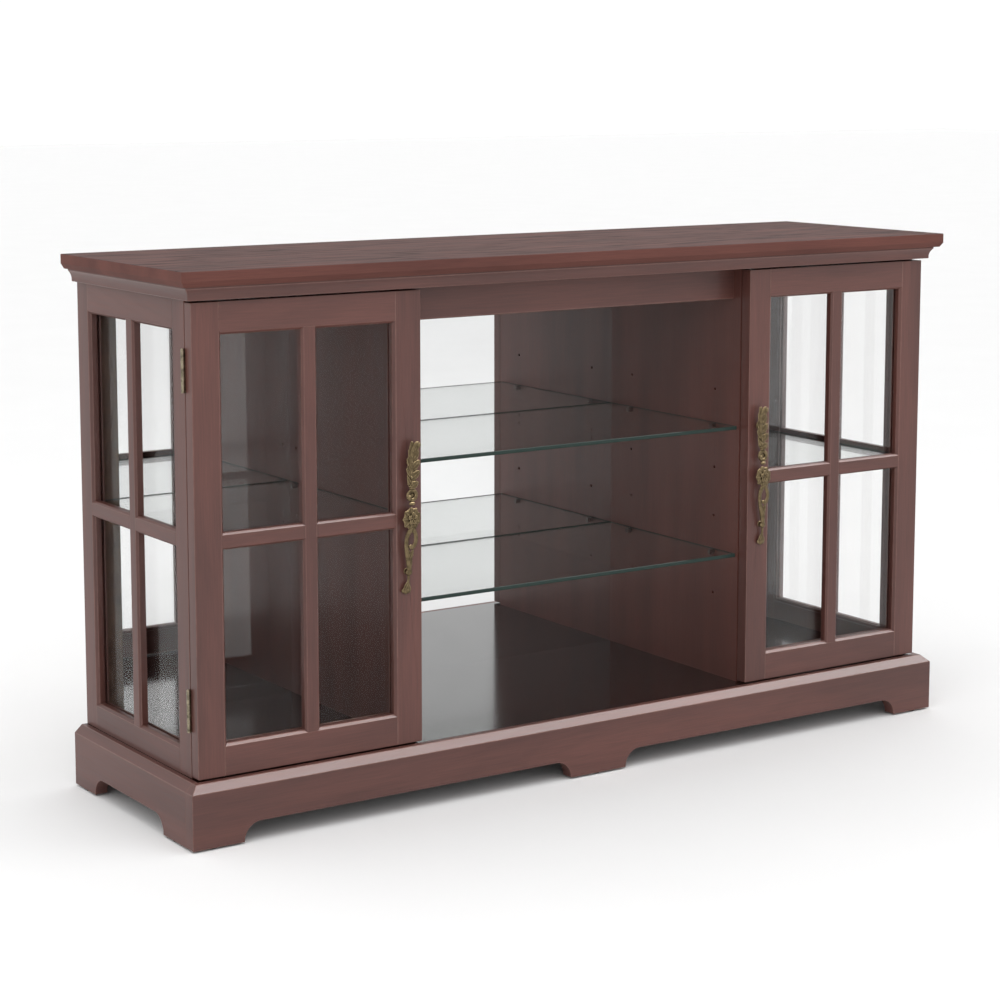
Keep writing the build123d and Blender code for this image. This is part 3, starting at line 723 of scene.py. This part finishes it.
def closed_loft(mesh, rings):
    """Join rings of points into a closed skin, with a fan over each end."""
    rows = [[mesh.verts.new(p) for p in ring] for ring in rings]
    count = len(rows[0])
    for low, high in zip(rows, rows[1:]):
        for i in range(count):
            mesh.faces.new((low[i], low[(i + 1) % count], high[(i + 1) % count], high[i]))
    mesh.faces.new(rows[0][::-1])
    mesh.faces.new(rows[-1])


def tube(mesh, points, steps=8):
    """Rounded bar through (x, depth, z, radius) points."""
    line = smooth_path([Vector(p) for p in points], steps)
    places = [p.xyz for p in line]
    rings = []
    for i, place in enumerate(places):
        ahead = places[min(i + 1, len(places) - 1)] - places[max(i - 1, 0)]
        side = ahead.cross(Vector((0, 1, 0)))
        side = side.normalized() if side.length > 1e-6 else Vector((1, 0, 0))
        up = side.cross(ahead).normalized()
        radius = max(line[i].w, 0.05)
        turns = [2 * math.pi * k / TUBE_SIDES for k in range(TUBE_SIDES)]
        rings.append([place + radius * (side * math.cos(a) + up * math.sin(a)) for a in turns])
    closed_loft(mesh, rings)


def ring(mesh, centre, radii, thickness, tilt=0.0):
    """Closed eyelet that faces the front; radii are across and up, and tilt turns it a little."""
    rows = []
    for i in range(RING_SIDES):
        a = 2 * math.pi * i / RING_SIDES
        out = Vector((math.cos(a), 0, math.sin(a)))
        x = centre[0] + radii[0] * out.x
        depth = centre[1] + tilt * out.x
        z = centre[2] + radii[1] * out.z
        place = Vector((x, depth, z))
        row = []
        for k in range(TUBE_SIDES):
            b = 2 * math.pi * k / TUBE_SIDES
            round_bar = out * math.cos(b) + Vector((0, math.sin(b), 0))
            row.append(mesh.verts.new(place + thickness * round_bar))
        rows.append(row)
    for low, high in zip(rows, rows[1:] + rows[:1]):
        for k in range(TUBE_SIDES):
            n = (k + 1) % TUBE_SIDES
            mesh.faces.new((low[k], high[k], high[n], low[n]))


def bead(mesh, centre, radii):
    """Rounded bead with its own radius along each axis."""
    made = bmesh.ops.create_uvsphere(mesh, u_segments=24, v_segments=14, radius=1)["verts"]
    bmesh.ops.scale(mesh, vec=radii, verts=made)
    bmesh.ops.translate(mesh, vec=centre, verts=made)


def petal(mesh, root, tip, width, lift, cup=1.4, thickness=2.2):
    """Leaf blade from root to tip: pointed, ribbed down its middle and raised by lift midway."""
    root, tip = Vector(root), Vector(tip)
    along = tip - root
    across = Vector((along.z, 0, -along.x)).normalized()
    out = Vector((0, 1, 0))
    rings = []
    for i in range(PETAL_SECTIONS + 1):
        t = i / PETAL_SECTIONS
        half = width * (math.sin(math.pi * min(t * 0.86 + 0.1, 1)) ** 0.7) + 0.12
        middle_line = root + along * t + out * lift * math.sin(math.pi * t)
        front, rear = [], []
        for j in range(PETAL_POINTS + 1):
            s = 2 * j / PETAL_POINTS - 1
            rib = PETAL_RIB * math.exp(-((s / PETAL_RIB_HALF) ** 2)) * half / width
            dish = cup * s * s * half / width
            body = thickness * 0.5 * (1 - s * s)
            aside = across * half * s
            front.append(middle_line + aside + out * (body + rib + dish))
            rear.append(middle_line + aside * PETAL_UNDERCUT + out * (dish - body - PETAL_BACKING))
        rings.append(front + rear[::-1])
    closed_loft(mesh, rings)


def acanthus(mesh):
    """Lobed leaf at the top: a bowed spine, with lobes down its right side and a rolled tip."""
    spine = (
        (0.0, 16.5, 44, 3.2),
        (-1.5, 17.0, 56, 4.4),
        (-3.6, 18.0, 70, 4.8),
        (-4.4, 18.6, 84, 4.4),
        (-2.6, 19.4, 97, 3.8),
        (1.6, 20.4, 107, 3.2),
        (5.0, 21.3, 110.5, 2.4),
    )
    tube(mesh, spine)
    petal(mesh, (-0.5, 15.6, 42), (-3.0, 17.6, 112), 8.6, 2.4, cup=0.6, thickness=4.4)
    petal(mesh, (-4.0, 15.4, 48), (0.5, 18.0, 108), 8.0, 2.0, cup=0.6, thickness=4.4)
    for z, reach, drop in ((52, 8.5, 0), (64, 10.0, 4), (77, 9.4, 7), (90, 7.6, 8)):
        petal(mesh, (-4.4, 19.4, z - 6), (reach, 20.6, z + drop), 5.4, 1.8, thickness=3.0)
    for z, reach, drop in ((56, -8.6, 9), (68, -10.4, 10), (81, -10.2, 11), (93, -7.6, 12)):
        petal(mesh, (-2.0, 19.0, z - 7), (reach, 17.2, z + drop - 4), 4.4, 1.6, thickness=3.0)
    petal(mesh, (-2.5, 19.0, 92), (6.4, 21.0, 112), 5.0, 1.6)
    bead(mesh, (7.4, 21.0, 106.4), (4.0, 3.6, 3.8))
    bead(mesh, (7.6, 20.6, 79.5), (3.0, 3.0, 3.4))
    for k in range(7):
        t = k / 6
        bead(mesh, (-2.4 - 1.6 * math.sin(math.pi * t), 22.2, 52 + 46 * t), (1.2, 1.4, 2.4))


def knuckle(mesh):
    """Collar, eyelet and bead between the leaf and the rosette."""
    bead(mesh, (0, 16.5, 46.5), (6.6, 5.6, 2.2))
    bead(mesh, (0, 16.5, 43.4), (5.2, 5.0, 1.9))
    ring(mesh, (0, 17.5, 33.0), (6.6, 6.8), 2.9, tilt=1.0)
    bead(mesh, (-4.8, 19.6, 29.5), (3.0, 2.8, 4.2))
    bead(mesh, (0, 15.2, 33.0), (6.4, 2.0, 8.0))
    bead(mesh, (0, 18.2, 21.0), (5.4, 4.8, 3.0))


def rosette(mesh):
    """Oval boss wrapped in leaves, with a curled bud at its heart."""
    bead(mesh, (0, 15.5, -1.0), (13.0, 4.8, 15.2))
    for k in range(9):
        a = 2 * math.pi * (k + 0.5) / 9
        tip = (15.4 * math.cos(a), 18.4, -1 + 17.0 * math.sin(a))
        petal(mesh, (2.5 * math.cos(a), 17.6, -1 + 3.5 * math.sin(a)), tip, 5.6, 2.6, cup=1.0)
    for k in range(5):
        a = 2 * math.pi * k / 5 + 0.3
        tip = (8.4 * math.cos(a) + 1.0, 22.6, -1 + 10.0 * math.sin(a))
        petal(mesh, (1.0, 20.0, -1), tip, 3.8, 1.8, cup=0.8, thickness=2.4)
    ring(mesh, (1.4, 21.4, -2.0), (3.6, 4.6), 1.5)
    bead(mesh, (1.4, 21.8, -2.0), (1.6, 2.0, 2.2))


def scroll(mesh):
    """Open loop under the rosette whose stem runs on in an S down to the ball."""
    stem = (
        (1.0, 18.0, -15, 4.2),
        (-3.0, 18.0, -20, 3.9),
        (-6.4, 17.4, -27, 3.5),
        (-7.4, 16.8, -36, 3.3),
        (-6.4, 16.0, -46, 3.4),
        (-4.0, 15.2, -56, 3.8),
        (-1.4, 14.2, -66, 4.4),
        (-0.2, 13.4, -74, 4.0),
        (0.0, 13.0, -79, 3.0),
    )
    tube(mesh, stem)
    curl = (
        (1.0, 18.2, -15, 3.8),
        (5.4, 18.6, -21, 3.4),
        (7.8, 18.8, -28, 3.2),
        (7.4, 18.8, -36, 3.2),
        (4.2, 18.6, -42, 3.4),
        (0.2, 18.2, -43.0, 3.0),
        (-1.4, 17.8, -39.5, 2.2),
    )
    tube(mesh, curl)
    bead(mesh, (1.6, 18.9, -43.6), (3.6, 3.0, 2.8))
    petal(mesh, (-5.8, 15.8, -44), (2.6, 15.6, -71), 3.6, 1.6, cup=0.8)
    petal(mesh, (3.2, 18.0, -45), (0.6, 14.6, -64), 2.6, 1.2, cup=0.8)
    petal(mesh, (0, 17.0, -13), (-7.4, 18.2, -30), 2.6, 1.2, cup=0.6)


def finial(mesh):
    """Ball, thin stem and the curled leaf that ends the pull at the bottom."""
    bead(mesh, (0, 11.8, -80.5), (5.6, 5.2, 5.0))
    ring(mesh, (0, 11.6, -80.5), (4.6, 1.6), 1.3)
    stem = ((0, 10.6, -84, 2.2), (0.9, 9.0, -90, 2.0), (0.8, 7.0, -96, 2.2), (-0.8, 5.2, -102, 2.8))
    tube(mesh, stem)
    petal(mesh, (1.6, 7.4, -95), (-6.6, 5.0, -111.5), 4.4, 1.6)
    petal(mesh, (0.6, 6.4, -98), (4.6, 4.2, -112.5), 3.6, 1.2)
    petal(mesh, (0.0, 6.0, -98), (-2.0, 5.0, -114.0), 3.4, 1.8)
    bead(mesh, (-1.0, 5.2, -107.5), (6.4, 4.4, 5.6))
    bead(mesh, (-6.0, 5.6, -108.0), (3.2, 3.0, 3.4))


def posts(mesh):
    """Two turned feet that stand on the door, each with a collar against the wood."""
    for z, reach in ((80, 17.0), (-80, 11.0)):
        profile = ((0.02, 4.8), (1.4, 4.8), (2.2, 4.0), (4.5, 3.8), (reach, 3.8))
        rings = []
        for depth, radius in profile:
            turns = [2 * math.pi * k / TUBE_SIDES for k in range(TUBE_SIDES)]
            rings.append([Vector((radius * math.cos(a), depth, z + radius * math.sin(a))) for a in turns])
        closed_loft(mesh, rings)


def pull_blank(side, name):
    """Mesh of one pull's ornaments in their place on its door, not yet fused."""
    low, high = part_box(f"{name}_door_handle")
    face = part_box(f"{name}_door_lock_stile")[0].y
    middle_x = (low.x + high.x) / 2
    middle_z = high.z - PULL_RISE * MM
    mesh = bmesh.new()
    for ornament in (acanthus, knuckle, rosette, scroll, finial, posts):
        ornament(mesh)
    for v in mesh.verts:
        x, depth, z = v.co
        lean = -side * PULL_LEAN * z / PULL_REACH
        v.co = (middle_x + (x + lean) * MM, face - depth * PULL_FLAT * MM, middle_z + z * MM)
    bmesh.ops.recalc_face_normals(mesh, faces=mesh.faces)
    data = bpy.data.meshes.new(f"{name}_door_handle_cast")
    mesh.to_mesh(data)
    mesh.free()
    return data


def fused(data, name):
    """The mesh as one skin, with its seams softened."""
    rough = bpy.data.objects.new(f"{name}_door_handle_rough", data)
    SCENE.collection.objects.link(rough)
    fuse = rough.modifiers.new("fuse", "REMESH")
    fuse.mode = "VOXEL"
    fuse.voxel_size = CAST_VOXEL
    soften = rough.modifiers.new("soften", "SMOOTH")
    soften.factor = 0.5
    soften.iterations = 2
    bpy.context.view_layer.update()
    graph = bpy.context.evaluated_depsgraph_get()
    skin = bpy.data.meshes.new_from_object(rough.evaluated_get(graph))
    bpy.data.objects.remove(rough)
    skin.name = f"{name}_door_handle_cast"
    skin.polygons.foreach_set("use_smooth", [True] * len(skin.polygons))
    return skin


def cast_pull(side, name, material):
    """One cast brass pull, in the place of its CAD node."""
    skin = fused(pull_blank(side, name), name)
    skin.materials.clear()
    skin.materials.append(material)
    pull = bpy.data.objects.new(f"{name}_cast_pull", skin)
    SCENE.collection.objects.link(pull)
    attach(pull, f"{name}_door")
    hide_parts(f"{name}_door_handle")


def add_pulls():
    """The two pulls: one casting, leaning towards the free edge of either door."""
    # Dull in its hollows: patina together with painted shade
    brass = metal("antique_brass", (0.50, 0.38, 0.21), (0.022, 0.014, 0.008), (0.22, 0.48), hollow_patina_and_shade=True)
    for name, side in (("left", -1), ("right", 1)):
        cast_pull(side, name, brass)


# ---------------------------------------------------------------- scene

SCENE.view_settings.view_transform = "Standard"
add_camera()
add_lights()
add_sky()
add_stage()
finish_boards()
finish_muntins()
finish_veneers()
finish_plain()
add_pulls()
